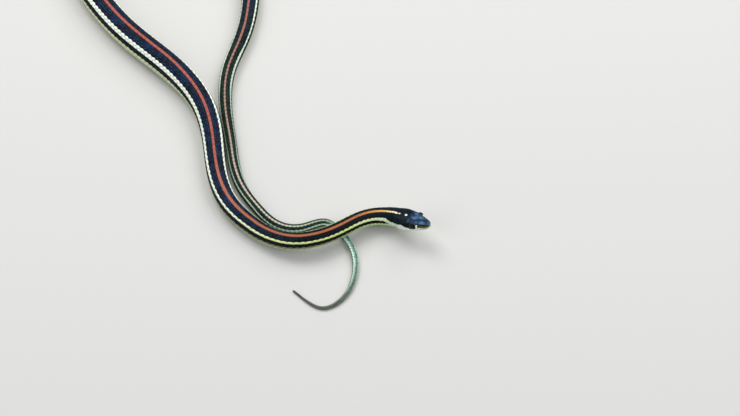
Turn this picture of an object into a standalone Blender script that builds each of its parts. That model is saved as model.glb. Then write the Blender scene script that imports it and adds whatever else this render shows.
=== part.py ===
# A ribbon snake, the slender striped kind of garter snake, at life size.
# It lies on its belly in a long open loop, with its neck resting over its own tail.
# Lengths named _MM are in millimetres; the finished meshes are in metres, with +Z up.
import math

import bmesh
import bpy
import numpy as np
from mathutils import Matrix, Vector

MM = 0.001
GAP_MM = 0.3  # clear space between neighbouring solids
SHARP_DEG = 50  # edges that bend more than this are shaded sharp

# Lengths along the animal, from the tip of the snout
HEAD_LENGTH_MM = 20.0
NECK_END_MM = 46.0
VENT_MM = 505.0
TRUNK_LENGTHS = 10
TAIL_LENGTHS = 6

# The way the body lies, seen from above: x and y of its middle line, from nape to tail tip
NAPE_MM = (13.1, -9.5)
HEAD_YAW_DEG = -31.0
HEAD_PITCH_DEG = 21.5
LEAD_IN_MM = (10.0, 5.0)  # guide points ahead of the nape, in line with the head
ROUTE_SAMPLES = 6000
HEAD_SAMPLES = 39
BODY_ROUTE_MM = [
    (3.8, -8.4), (-9.7, -14.6), (-24.2, -22.1), (-37.1, -23.8), (-47.9, -20.3),
    (-58.8, -12.7), (-69.5, -1.2), (-76.7, 17.0), (-80.1, 39.1), (-85.5, 58.5),
    (-94.9, 73.5), (-109.5, 88.8), (-128.0, 106.2), (-142.8, 124.3),
]
HIDDEN_LOOP_MM = [
    (-155.2, 146.9), (-158.0, 172.0), (-146.0, 193.0), (-123.0, 203.0),
    (-98.0, 198.0), (-78.5, 180.0), (-67.6, 156.0),
]
TAIL_ROUTE_MM = [
    (-64.3, 130.0), (-67.9, 104.7), (-74.1, 83.7), (-74.6, 60.4), (-70.8, 36.9),
    (-65.4, 12.9), (-55.6, -2.5), (-44.9, -12.1), (-33.4, -13.1), (-22.4, -9.8),
    (-13.1, -17.3), (-7.8, -28.2), (-8.0, -42.0), (-14.6, -54.2), (-22.8, -58.0),
    (-30.2, -54.4), (-37.4, -48.0),
]
CENTRE_MM = (-67.6, 75.6)  # middle of the ground the animal covers

# Half widths of the body at distances along it
HALF_WIDTHS_MM = [
    (20.0, 4.75), (30.0, 4.4), (44.0, 4.1), (62.0, 4.2), (92.0, 4.65), (151.0, 5.5),
    (190.0, 6.45), (212.0, 6.95), (300.0, 7.05), (370.0, 6.7), (440.0, 5.4), (505.0, 4.2),
    (534.0, 3.6), (562.0, 3.05), (590.0, 2.9), (610.0, 2.7), (632.0, 2.4), (650.0, 2.0),
    (690.0, 1.3), (722.0, 0.55),
]
TAIL_TIP_ROUND_MM = 1.2
TAIL_TIP_RINGS = (0.45, 0.1)  # shares of the rounding left behind the last two rings

# The neck's low hump over the tail, as lifts of the belly off the ground
HUMP_START_MM = 96.0
HUMP_TOP_MM = (62.0, 44.0)
HUMP_LIFT_MM = 4.4
NAPE_LIFT_MM = 2.4

# Cross section of the body, as shares of its half width
BACK_SHARE = 1.0
BELLY_SHARE = 0.9
BELLY_CUT_SHARE = 0.85  # the flat that the belly rests on
SIDE_POWER = 0.8
BELLY_POWER = 0.75
RING_STEP_MM = 4.0
TRUNK_SIDES = 18
TAIL_SIDES = 14

# Head stations: distance from the snout, half width, height above and depth below the axis
HEAD_STATIONS_MM = [
    (0.0, 1.05, 0.8, 0.8), (0.4, 1.65, 1.2, 1.15), (1.1, 2.15, 1.55, 1.45),
    (2.3, 2.65, 1.95, 1.8), (4.0, 3.25, 2.45, 2.2), (5.5, 3.85, 2.95, 2.6),
    (7.2, 4.45, 3.35, 2.9), (9.0, 4.85, 3.55, 3.15), (11.6, 5.2, 3.7, 3.4),
    (14.2, 5.5, 3.85, 3.55), (17.2, 5.35, 4.05, 3.75), (20.0, 4.75, 4.3, 3.8),
]
HEAD_SIDES = 24
HEAD_STEP_MM = 1.5  # stations further apart than this get one between them
HEAD_TOP_POWER = 0.72  # below 1 flattens the crown
HEAD_SIDE_POWER = 0.72

# The mouth in side view: distance from the snout and height over the axis
MOUTH_LINE_MM = [
    (-2.0, -0.3), (0.0, -0.32), (2.3, -0.6), (5.5, -1.1), (9.0, -1.6),
    (12.2, -1.7), (15.1, -1.1), (16.4, -0.5),
]
MOUTH_CORNER_MM = 16.4
JAW_BACK_MM = 17.4  # where the jaw's underside ends, behind the corner of the mouth
JAW_SPACE_MM = (-8.0, 9.0)  # lowest height and half width of the guide that parts the jaw

EYE_RADIUS_MM = 1.65
EYE_MM = (7.3, 1.35)  # distance behind the snout, height over the axis
EYE_DEPTH_MM = 1.05  # from the side of the head in to the eye's centre
EYE_FACETS = (16, 10)

COLOURS = {
    "head": ((0.035, 0.05, 0.06), 0.45),
    "lower_jaw": ((0.62, 0.66, 0.5), 0.5),
    "eye": ((0.02, 0.02, 0.02), 0.08),
    "neck": ((0.05, 0.06, 0.06), 0.45),
    "trunk": ((0.04, 0.05, 0.06), 0.45),
    "tail": ((0.1, 0.1, 0.09), 0.45),
}


def clear_scene():
    for old in list(bpy.data.objects):
        bpy.data.objects.remove(old, do_unlink=True)


def natural_spline(points, steps):
    """Points along a smooth curve through the given ones, with no kink in its bend."""
    points = np.array(points, float)
    knots = np.concatenate([[0], np.cumsum(np.linalg.norm(np.diff(points, axis=0), axis=1))])
    count = len(knots)
    spans = np.diff(knots)
    matrix = np.eye(count)
    right = np.zeros_like(points)
    for i in range(1, count - 1):
        matrix[i, i - 1:i + 2] = spans[i - 1], 2 * (spans[i - 1] + spans[i]), spans[i]
        slopes = (points[i + 1] - points[i]) / spans[i] - (points[i] - points[i - 1]) / spans[i - 1]
        right[i] = 6 * slopes
    bends = np.linalg.solve(matrix, right)
    at = np.linspace(0, knots[-1], steps)
    i = np.clip(np.searchsorted(knots, at) - 1, 0, count - 2)
    after = ((at - knots[i]) / spans[i])[:, None]
    before = 1 - after
    span = spans[i][:, None]
    curve = (before**3 - before) * bends[i] + (after**3 - after) * bends[i + 1]
    return before * points[i] + after * points[i + 1] + curve * span**2 / 6


def smooth_table(table, at):
    """A smooth run through (distance, value) pairs that never overshoots them."""
    table = np.array(table, float)
    xs, ys = table[:, 0], table[:, 1]
    spans = np.diff(xs)
    secants = np.diff(ys) / spans
    slopes = np.zeros(len(xs))
    same_way = secants[:-1] * secants[1:] > 0
    inner = np.where(same_way, 2 * secants[:-1] * secants[1:], 0)
    total = np.where(same_way, secants[:-1] + secants[1:], 1)
    slopes[1:-1] = inner / total
    slopes[0], slopes[-1] = secants[0], secants[-1]
    at = np.clip(np.asarray(at, float), xs[0], xs[-1])
    i = np.clip(np.searchsorted(xs, at) - 1, 0, len(xs) - 2)
    t = (at - xs[i]) / spans[i]
    rise = spans[i] * ((t**3 - 2 * t**2 + t) * slopes[i] + (t**3 - t**2) * slopes[i + 1])
    return (2 * t**3 - 3 * t**2 + 1) * ys[i] + (3 * t**2 - 2 * t**3) * ys[i + 1] + rise


def half_width(s):
    return smooth_table(HALF_WIDTHS_MM, s)


def head_direction():
    yaw, pitch = math.radians(HEAD_YAW_DEG), math.radians(HEAD_PITCH_DEG)
    flat = math.cos(pitch)
    return np.array([flat * math.cos(yaw), flat * math.sin(yaw), math.sin(pitch)])


def belly_lift(s):
    """Height of the belly over the ground, and its slope along the body."""
    s = np.asarray(s, float)
    back, front = HUMP_TOP_MM
    rise = np.clip((HUMP_START_MM - s) / (HUMP_START_MM - back), 0, 1)
    lift = HUMP_LIFT_MM * rise**2 * (3 - 2 * rise)
    slope = -HUMP_LIFT_MM * 6 * rise * (1 - rise) / (HUMP_START_MM - back)
    reach = front - HEAD_LENGTH_MM
    t = np.clip((s - HEAD_LENGTH_MM) / reach, 0, 1)
    nape_slope = -math.tan(math.radians(HEAD_PITCH_DEG))
    fall = (2 * t**3 - 3 * t**2 + 1) * NAPE_LIFT_MM + (3 * t**2 - 2 * t**3) * HUMP_LIFT_MM
    fall += (t**3 - 2 * t**2 + t) * reach * nape_slope
    fall_slope = (6 * t**2 - 6 * t) * (NAPE_LIFT_MM - HUMP_LIFT_MM) / reach
    fall_slope += (3 * t**2 - 4 * t + 1) * nape_slope
    ahead = s < front
    return np.where(ahead, fall, lift), np.where(ahead, fall_slope, slope)


def middle_line():
    """Distances along the body, its middle line and its direction, from snout to tail tip."""
    forward = head_direction()
    level = forward[:2] / np.linalg.norm(forward[:2])
    nape = np.array(NAPE_MM)
    lead_in = [tuple(nape + level * ahead) for ahead in LEAD_IN_MM]
    route = lead_in + [NAPE_MM] + BODY_ROUTE_MM + HIDDEN_LOOP_MM + TAIL_ROUTE_MM
    flat = natural_spline(route, ROUTE_SAMPLES)
    flat -= np.array(CENTRE_MM)
    start = np.argmin(np.linalg.norm(flat - (nape - CENTRE_MM), axis=1))
    flat = flat[start:]
    run = np.concatenate([[0], np.cumsum(np.linalg.norm(np.diff(flat, axis=0), axis=1))])
    s = HEAD_LENGTH_MM + run
    lift, slope = belly_lift(s)
    height = lift + BELLY_CUT_SHARE * half_width(s)
    line = np.column_stack([flat, height])
    direction = np.gradient(flat, run, axis=0)
    direction /= np.linalg.norm(direction, axis=1)[:, None]
    direction = np.column_stack([direction, slope])
    direction /= np.linalg.norm(direction, axis=1)[:, None]
    head_s = np.linspace(0, HEAD_LENGTH_MM, HEAD_SAMPLES, endpoint=False)
    head_line = line[0] + (HEAD_LENGTH_MM - head_s)[:, None] * forward
    s = np.concatenate([head_s, s])
    line = np.vstack([head_line, line])
    direction = np.vstack([np.tile(-forward, (len(head_s), 1)), direction])
    return s, line, direction


S, LINE, DIRECTION = middle_line()
BODY_LENGTH_MM = float(S[-1])


def place(s, side, up):
    """World points, in millimetres, at distance s, with side to the animal's left."""
    middle = np.array([np.interp(s, S, LINE[:, k]) for k in range(3)])
    back = np.array([np.interp(s, S, DIRECTION[:, k]) for k in range(3)])
    back /= np.linalg.norm(back)
    left = np.array([back[1], -back[0], 0.0])
    left /= np.linalg.norm(left)
    upward = np.cross(left, -back)
    upward *= math.copysign(1, upward[2])
    return middle + np.outer(side, left) + np.outer(up, upward)


def body_section(radius, sides):
    """The loaf-shaped outline of the body: round back, flat belly."""
    angle = np.arange(sides) * 2 * math.pi / sides
    sine, cosine = np.sin(angle), np.cos(angle)
    lower = cosine < 0
    side = radius * np.sign(sine) * np.abs(sine) ** np.where(lower, SIDE_POWER, 1.0)
    down = np.minimum(BELLY_SHARE * np.abs(cosine) ** BELLY_POWER, BELLY_CUT_SHARE)
    return side, np.where(lower, -down, BACK_SHARE * cosine) * radius


def head_section(s):
    """The outline of the head: flat crown, bulging lips, shallow chin."""
    width, top, bottom = (
        smooth_table([(row[0], row[k]) for row in HEAD_STATIONS_MM], s) for k in (1, 2, 3)
    )
    angle = np.arange(HEAD_SIDES) * 2 * math.pi / HEAD_SIDES
    sine, cosine = np.sin(angle), np.cos(angle)
    side = width * np.sign(sine) * np.abs(sine) ** HEAD_SIDE_POWER
    height = np.abs(cosine) ** HEAD_TOP_POWER
    blend = np.clip((s - MOUTH_CORNER_MM) / (HEAD_LENGTH_MM - MOUTH_CORNER_MM), 0, 1)
    up = np.where(cosine < 0, -bottom * height, top * height)
    body_side, body_up = body_section(half_width(HEAD_LENGTH_MM), HEAD_SIDES)
    return side * (1 - blend) + body_side * blend, up * (1 - blend) + body_up * blend


def finish_mesh(name, bm, parent):
    bmesh.ops.recalc_face_normals(bm, faces=bm.faces)
    middle = sum((vert.co for vert in bm.verts), Vector()) / len(bm.verts)
    bmesh.ops.translate(bm, verts=bm.verts, vec=-middle)
    mesh = bpy.data.meshes.new(name)
    bm.to_mesh(mesh)
    bm.free()
    mesh.shade_smooth()
    mesh.set_sharp_from_angle(angle=math.radians(SHARP_DEG))
    made = bpy.data.objects.new(name, mesh)
    bpy.context.scene.collection.objects.link(made)
    made.location = middle
    made.parent = parent
    return made


def paint(made, key):
    colour, roughness = COLOURS[key]
    material = bpy.data.materials.new(made.name)
    material.use_nodes = True
    shader = material.node_tree.nodes["Principled BSDF"]
    shader.inputs["Base Color"].default_value = (*colour, 1)
    shader.inputs["Roughness"].default_value = roughness
    shader.inputs["Metallic"].default_value = 0
    made.data.materials.clear()
    made.data.materials.append(material)


def loft(name, rings, parent):
    """A closed solid through rings of equally many points."""
    bm = bmesh.new()
    rows = [[bm.verts.new(Vector(point) * MM) for point in ring] for ring in rings]
    count = len(rows[0])
    for near, far in zip(rows, rows[1:]):
        for i in range(count):
            j = (i + 1) % count
            bm.faces.new((near[i], near[j], far[j], far[i]))
    bm.faces.new(rows[0][::-1])
    bm.faces.new(rows[-1])
    return finish_mesh(name, bm, parent)


def body_length(name, key, start, end, sides, parent, is_tip=False):
    """One length of neck, trunk or tail, cut square at both ends, or rounded at the tail's tip."""
    first = start + GAP_MM / 2
    last = end if is_tip else end - GAP_MM / 2
    steps = max(2, round((last - first) / RING_STEP_MM))
    stations = list(np.linspace(first, last, steps + 1))
    if is_tip:
        stations[-1] = last - TAIL_TIP_ROUND_MM
        stations += [last - TAIL_TIP_ROUND_MM * share for share in TAIL_TIP_RINGS]
    rings = []
    for s in stations:
        radius = float(half_width(s))
        shrink = 1.0
        if is_tip and s > last - TAIL_TIP_ROUND_MM:
            past = (s - last + TAIL_TIP_ROUND_MM) / TAIL_TIP_ROUND_MM
            shrink = math.sqrt(max(0.0, 1 - past**2))
        side, up = body_section(radius, sides)
        rings.append(place(s, side * shrink, up * shrink))
    made = loft(name, rings, parent)
    paint(made, key)
    return made


def cutter_from_side_outline(name, outline, half, parent):
    """A guide solid with a side-view outline in head coordinates, spread over both sides."""
    rings = []
    for side in (half, -half):
        ring = [place(0.0, [side], [up])[0] - head_direction() * s for s, up in outline]
        rings.append(ring)
    made = loft(name, rings, parent)
    made.hide_render = True
    made.display_type = "WIRE"
    return made


def jaw_outline(shift, back_shift):
    """The space of the lower jaw in side view, moved up and back by the given shifts."""
    front = [(s, up + shift) for s, up in MOUTH_LINE_MM[:-1]]
    corner = (MOUTH_CORNER_MM + back_shift, MOUTH_LINE_MM[-1][1] + shift)
    deep = JAW_SPACE_MM[0]
    return front + [corner, (JAW_BACK_MM + back_shift, deep), (MOUTH_LINE_MM[0][0], deep)]


def boolean(target, cutter, operation):
    modifier = target.modifiers.new(operation.title() + " " + cutter.name, "BOOLEAN")
    modifier.operation = operation
    modifier.object = cutter
    modifier.solver = "EXACT"


def eye_centre(sign):
    s, up = EYE_MM
    width = smooth_table([(row[0], row[1]) for row in HEAD_STATIONS_MM], s)
    return place(s, [sign * (width - EYE_DEPTH_MM)], [up])[0]


def ball(name, centre, radius, parent):
    bm = bmesh.new()
    segments, rings = EYE_FACETS
    turn = Matrix.Translation(Vector(centre) * MM) @ Matrix.Rotation(math.pi / 2, 4, "X")
    bmesh.ops.create_uvsphere(
        bm, u_segments=segments, v_segments=rings, radius=radius * MM, matrix=turn
    )
    return finish_mesh(name, bm, parent)


def head_loft(name, parent):
    stations = [row[0] for row in HEAD_STATIONS_MM]
    finer = []
    for near, far in zip(stations, stations[1:]):
        finer += [near] if far - near < HEAD_STEP_MM else [near, (near + far) / 2]
    finer.append(HEAD_LENGTH_MM - GAP_MM / 2)
    rings = []
    for s in finer:
        side, up = head_section(s)
        rings.append(place(s, side, up))
    return loft(name, rings, parent)


def build_head(parent):
    head = head_loft("head", parent)
    paint(head, "head")
    jaw = head_loft("lower_jaw", parent)
    paint(jaw, "lower_jaw")
    wide = JAW_SPACE_MM[1]
    gap = GAP_MM / 2
    mouth = cutter_from_side_outline("mouth_cut", jaw_outline(gap, gap), wide, parent)
    kept = cutter_from_side_outline("jaw_space", jaw_outline(-gap, -gap), wide, parent)
    boolean(head, mouth, "DIFFERENCE")
    boolean(jaw, kept, "INTERSECT")
    for sign, word in ((1, "left"), (-1, "right")):
        centre = eye_centre(sign)
        socket = ball("socket_" + word, centre, EYE_RADIUS_MM + GAP_MM, parent)
        socket.hide_render = True
        socket.display_type = "WIRE"
        boolean(head, socket, "DIFFERENCE")
        eye = ball("eye_" + word, centre, EYE_RADIUS_MM, parent)
        paint(eye, "eye")


def build_body(parent):
    body_length("neck", "neck", HEAD_LENGTH_MM, NECK_END_MM, TRUNK_SIDES, parent)
    parts = (
        ("trunk", NECK_END_MM, VENT_MM, TRUNK_LENGTHS, TRUNK_SIDES),
        ("tail", VENT_MM, BODY_LENGTH_MM, TAIL_LENGTHS, TAIL_SIDES),
    )
    for word, start, end, count, sides in parts:
        cuts = np.linspace(start, end, count + 1)
        for i in range(count):
            is_tip = word == "tail" and i == count - 1
            body_length(f"{word}_{i + 1}", word, cuts[i], cuts[i + 1], sides, parent, is_tip)


def main():
    clear_scene()
    snake = bpy.data.objects.new("snake", None)
    bpy.context.scene.collection.objects.link(snake)
    build_head(snake)
    build_body(snake)


main()
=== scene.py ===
import math

import bpy
import numpy as np
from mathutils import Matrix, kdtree


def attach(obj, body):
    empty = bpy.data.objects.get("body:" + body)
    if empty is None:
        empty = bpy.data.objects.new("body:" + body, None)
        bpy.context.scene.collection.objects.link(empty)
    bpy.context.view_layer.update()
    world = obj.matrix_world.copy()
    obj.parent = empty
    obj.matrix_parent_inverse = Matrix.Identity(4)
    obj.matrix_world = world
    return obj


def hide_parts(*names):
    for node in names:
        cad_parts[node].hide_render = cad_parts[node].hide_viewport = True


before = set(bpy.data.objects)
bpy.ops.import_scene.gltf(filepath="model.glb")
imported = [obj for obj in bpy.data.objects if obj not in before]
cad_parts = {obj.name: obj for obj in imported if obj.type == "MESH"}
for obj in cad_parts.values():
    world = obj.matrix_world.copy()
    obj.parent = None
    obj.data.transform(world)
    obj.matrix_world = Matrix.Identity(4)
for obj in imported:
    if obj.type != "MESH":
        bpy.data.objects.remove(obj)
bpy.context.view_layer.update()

# A ribbon snake at life size. Lengths are in millimetres until a mesh is made.
# s is the distance behind the tip of the snout; around is the angle from the middle of
# the back, -180 to 180, positive on the animal's left, even in length over the skin.
mm = 0.001
chance = np.random.default_rng(7)

# The line that the body lies along, as the solids have it
route = {
    "nape": (13.1, -9.5),
    "yaw": -31.0,
    "pitch": 21.5,
    "leadIn": (10.0, 5.0),
    "samples": 6000,
    "body": [
        (3.8, -8.4), (-9.7, -14.6), (-24.2, -22.1), (-37.1, -23.8), (-47.9, -20.3),
        (-58.8, -12.7), (-69.5, -1.2), (-76.7, 17.0), (-80.1, 39.1), (-85.5, 58.5),
        (-94.9, 73.5), (-109.5, 88.8), (-128.0, 106.2), (-142.8, 124.3),
    ],
    "loop": [
        (-155.2, 146.9), (-158.0, 172.0), (-146.0, 193.0), (-123.0, 203.0),
        (-98.0, 198.0), (-78.5, 180.0), (-67.6, 156.0),
    ],
    "tail": [
        (-64.3, 130.0), (-67.9, 104.7), (-74.1, 83.7), (-74.6, 60.4), (-70.8, 36.9),
        (-65.4, 12.9), (-55.6, -2.5), (-44.9, -12.1), (-33.4, -13.1), (-22.4, -9.8),
        (-13.1, -17.3), (-7.8, -28.2), (-8.0, -42.0), (-14.6, -54.2), (-22.8, -58.0),
        (-30.2, -54.4), (-37.4, -48.0),
    ],
    "centre": (-67.6, 75.6),
    "humpStart": 96.0,
    "humpTop": (62.0, 44.0),
    "humpLift": 4.4,
    "napeLift": 2.4,
}

# The outline of the body and head, as the solids have it
shape = {
    "headLength": 20.0,
    "mouthCorner": 16.4,
    "vent": 505.0,
    "tipRound": 1.2,
    "noseRound": 0.3,
    "halfWidths": [
        (20.0, 4.75), (30.0, 4.4), (44.0, 4.1), (62.0, 4.2), (92.0, 4.65), (151.0, 5.5),
        (190.0, 6.45), (212.0, 6.95), (300.0, 7.05), (370.0, 6.7), (440.0, 5.4), (505.0, 4.2),
        (534.0, 3.6), (562.0, 3.05), (590.0, 2.9), (610.0, 2.7), (632.0, 2.4), (650.0, 2.0),
        (690.0, 1.3), (722.0, 0.55),
    ],
    "bellyShare": 0.9,
    "bellyCut": 0.85,
    "sidePower": 0.8,
    "bellyPower": 0.75,
    "headPower": 0.72,
    # distance from the snout, half width, height above and depth below the head's axis
    "head": [
        (0.0, 1.05, 0.8, 0.8), (0.4, 1.65, 1.2, 1.15), (1.1, 2.15, 1.55, 1.45),
        (2.3, 2.65, 1.95, 1.8), (4.0, 3.25, 2.45, 2.2), (5.5, 3.85, 2.95, 2.6),
        (7.2, 4.45, 3.35, 2.9), (9.0, 4.85, 3.55, 3.15), (11.6, 5.2, 3.7, 3.4),
        (14.2, 5.5, 3.85, 3.55), (17.2, 5.35, 4.05, 3.75), (20.0, 4.75, 4.3, 3.8),
    ],
}

# How far the coat of scales turns to the animal's left along the body, in degrees
rollTable = [
    (0, 0), (15.5, 0), (18.5, -7.0), (20.5, -6.0), (24, -0.5), (29, 2.4), (34, 2.9), (44, 2.5),
    (54, 1.7), (64, 2.9),
    (74, 7.1), (86, 10.5), (100, 9.6), (116, 7.3), (132, 3.6), (150, 0.7), (170, 0),
    (190, 3.8), (210, 8.3), (230, 9.7), (250, 10.3), (272, 11.1), (330, 0), (455, 0),
    (478, 5.0), (492, -0.3), (506, -4.7), (520, -3.3), (534, 0.5), (548, 3.0), (562, 1.0),
    (576, 0.0), (590, -5.5), (604, -7.0), (618, -3.5), (632, -0.3), (648, -2),
    (658, -16), (668, -26), (690, -24), (722, -12),
]


def naturalSpline(points, steps):
    points = np.array(points, float)
    knots = np.concatenate([[0], np.cumsum(np.linalg.norm(np.diff(points, axis=0), axis=1))])
    count = len(knots)
    spans = np.diff(knots)
    matrix = np.eye(count)
    right = np.zeros_like(points)
    for i in range(1, count - 1):
        matrix[i, i - 1:i + 2] = spans[i - 1], 2 * (spans[i - 1] + spans[i]), spans[i]
        before, after = points[i] - points[i - 1], points[i + 1] - points[i]
        right[i] = 6 * (after / spans[i] - before / spans[i - 1])
    bends = np.linalg.solve(matrix, right)
    at = np.linspace(0, knots[-1], steps)
    i = np.clip(np.searchsorted(knots, at) - 1, 0, count - 2)
    after = ((at - knots[i]) / spans[i])[:, None]
    before = 1 - after
    curve = (before**3 - before) * bends[i] + (after**3 - after) * bends[i + 1]
    return before * points[i] + after * points[i + 1] + curve * spans[i][:, None] ** 2 / 6


def smoothTable(table, at):
    # a smooth run through (distance, value) pairs that never overshoots them
    table = np.array(table, float)
    xs, ys = table[:, 0], table[:, 1]
    spans = np.diff(xs)
    secants = np.diff(ys) / spans
    slopes = np.zeros(len(xs))
    sameWay = secants[:-1] * secants[1:] > 0
    inner = np.where(sameWay, 2 * secants[:-1] * secants[1:], 0)
    slopes[1:-1] = inner / np.where(sameWay, secants[:-1] + secants[1:], 1)
    slopes[0], slopes[-1] = secants[0], secants[-1]
    at = np.clip(np.asarray(at, float), xs[0], xs[-1])
    i = np.clip(np.searchsorted(xs, at) - 1, 0, len(xs) - 2)
    t = (at - xs[i]) / spans[i]
    rise = spans[i] * ((t**3 - 2 * t**2 + t) * slopes[i] + (t**3 - t**2) * slopes[i + 1])
    return (2 * t**3 - 3 * t**2 + 1) * ys[i] + (3 * t**2 - 2 * t**3) * ys[i + 1] + rise


def easeStep(value, low, high):
    t = np.clip((value - low) / (high - low), 0, 1)
    return t * t * (3 - 2 * t)


def unit(vectors):
    return vectors / np.maximum(np.linalg.norm(vectors, axis=-1, keepdims=True), 1e-9)


def bellyLift(s):
    back, front = route["humpTop"]
    run = route["humpStart"] - back
    rise = np.clip((route["humpStart"] - s) / run, 0, 1)
    lift = route["humpLift"] * rise**2 * (3 - 2 * rise)
    slope = -route["humpLift"] * 6 * rise * (1 - rise) / run
    reach = front - shape["headLength"]
    t = np.clip((s - shape["headLength"]) / reach, 0, 1)
    napeSlope = -math.tan(math.radians(route["pitch"]))
    fall = (2 * t**3 - 3 * t**2 + 1) * route["napeLift"] + (3 * t**2 - 2 * t**3) * route["humpLift"]
    fall += (t**3 - 2 * t**2 + t) * reach * napeSlope
    fallSlope = (6 * t**2 - 6 * t) * (route["napeLift"] - route["humpLift"]) / reach
    fallSlope += (3 * t**2 - 4 * t + 1) * napeSlope
    return np.where(s < front, fall, lift), np.where(s < front, fallSlope, slope)


def middleLine():
    yaw, pitch = math.radians(route["yaw"]), math.radians(route["pitch"])
    level = np.array([math.cos(yaw), math.sin(yaw)])
    forward = np.append(level * math.cos(pitch), math.sin(pitch))
    nape = np.array(route["nape"])
    points = [tuple(nape + level * ahead) for ahead in route["leadIn"]] + [route["nape"]]
    flat = naturalSpline(points + route["body"] + route["loop"] + route["tail"], route["samples"])
    flat = flat[np.argmin(np.linalg.norm(flat - nape, axis=1)):] - np.array(route["centre"])
    run = np.concatenate([[0], np.cumsum(np.linalg.norm(np.diff(flat, axis=0), axis=1))])
    s = shape["headLength"] + run
    lift, slope = bellyLift(s)
    line = np.column_stack([flat, lift + shape["bellyCut"] * smoothTable(shape["halfWidths"], s)])
    direction = unit(np.column_stack([unit(np.gradient(flat, run, axis=0)), slope]))
    headS = np.linspace(-1, shape["headLength"], 43)[:-1]
    headLine = line[0] + (shape["headLength"] - headS)[:, None] * forward
    direction = np.vstack([np.tile(-forward, (len(headS), 1)), direction])
    return np.concatenate([headS, s]), np.vstack([headLine, line]), direction


# Everything that changes along the body is read from tables with one entry every 0.1 mm
lineS, linePoints, lineBack = middleLine()
bodyLength = float(lineS[-1])
tableStep = 0.1
alongTable = np.append(np.arange(-1, bodyLength, tableStep), bodyLength)


def tabled(values):
    return np.array([np.interp(alongTable, lineS, values[:, k]) for k in range(3)])


def softened(values, width):
    # a running mean that rounds the small turn where the head meets the neck
    padded = np.pad(values, ((0, 0), (width, width)), mode="edge")
    total = np.cumsum(padded, axis=1)
    total = np.pad(total, ((0, 0), (1, 0)))
    return (total[:, 2 * width + 1:] - total[:, :-2 * width - 1]) / (2 * width + 1)


middleTable = tabled(linePoints)
backTable = unit(softened(tabled(lineBack), 15).T)
leftTable = unit(np.column_stack([backTable[:, 1], -backTable[:, 0], 0 * backTable[:, 0]]))
upTable = np.cross(leftTable, -backTable)
upTable *= np.sign(upTable[:, 2:])
leftTable, upTable = leftTable.T, upTable.T
tipLeft = np.clip((alongTable - bodyLength + shape["tipRound"]) / shape["tipRound"], 0, 1)
tipShrink = np.sqrt(np.maximum(0, 1 - tipLeft**2))
radiusTable = smoothTable(shape["halfWidths"], alongTable) * tipShrink
noseLeft = np.clip(-alongTable / shape["noseRound"], 0, 1)
headTable = [
    smoothTable([(row[0], row[k]) for row in shape["head"]], alongTable) * np.sqrt(1 - noseLeft**2)
    for k in (1, 2, 3)
]
neckBlendTable = easeStep(alongTable, shape["mouthCorner"], shape["headLength"])
rollAlong = smoothTable(rollTable, alongTable)


def at(table, s):
    return np.interp(s, alongTable, table)


def outline(s, phi):
    # sideways and upward distances of the skin from the middle line, phi from back to belly
    sine, cosine = np.sin(phi), np.cos(phi)
    lower = cosine < 0
    wide, high, deep = (at(table, s) for table in headTable)
    headSide = wide * np.sign(sine) * np.abs(sine) ** shape["headPower"]
    headUp = np.where(lower, -deep, high) * np.abs(cosine) ** shape["headPower"]
    down = np.minimum(shape["bellyShare"] * np.abs(cosine) ** shape["bellyPower"], shape["bellyCut"])
    radius, blend = at(radiusTable, s), at(neckBlendTable, s)
    bodySide = radius * np.sign(sine) * np.abs(sine) ** np.where(lower, shape["sidePower"], 1.0)
    bodyUp = radius * np.where(lower, -down, cosine)
    return headSide * (1 - blend) + bodySide * blend, headUp * (1 - blend) + bodyUp * blend


def arcTable():
    # phi for even steps of length round half the outline, one row every quarter of a millimetre
    stations = np.arange(0, shape["headLength"] + 0.01, 0.25)
    phi = np.linspace(0, math.pi, 1441)
    rows = []
    for s in stations:
        side, up = outline(np.full_like(phi, s), phi)
        arc = np.concatenate([[0], np.cumsum(np.hypot(np.diff(side), np.diff(up)))])
        rows.append(np.interp(np.linspace(0, arc[-1], 361), arc, phi))
    return np.array(rows)


arcPhi = arcTable()


def phiAt(s, around):
    row = np.clip(s / 0.25, 0, len(arcPhi) - 1.001)
    column = np.clip(np.abs(around) * 2, 0, 359.999)
    i, j = row.astype(int), column.astype(int)
    u, v = row - i, column - j
    near = arcPhi[i, j] * (1 - v) + arcPhi[i, j + 1] * v
    far = arcPhi[i + 1, j] * (1 - v) + arcPhi[i + 1, j + 1] * v
    return np.sign(around) * (near * (1 - u) + far * u)


def place(s, side, up):
    parts = [
        at(middleTable[k], s) + side * at(leftTable[k], s) + up * at(upTable[k], s) for k in range(3)
    ]
    return np.stack(parts, axis=-1)


def bare(s, around):
    turned = around + at(rollAlong, s)
    turned = (turned + 180) % 360 - 180
    side, up = outline(s, phiAt(s, turned))
    return place(s, side, up)


def normals(s, around, stepS=0.12, stepAround=1.2):
    acrossSkin = bare(s, around + stepAround) - bare(s, around - stepAround)
    alongSkin = bare(s + stepS, around) - bare(s - stepS, around)
    return unit(np.cross(acrossSkin, alongSkin))


def onSkin(s, around, lift):
    # points over the outline of the solids, lift out along the skin's normal
    s, around = np.broadcast_arrays(np.asarray(s, float), np.asarray(around, float))
    return bare(s, around) + normals(s, around) * np.asarray(lift)[..., None]


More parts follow.
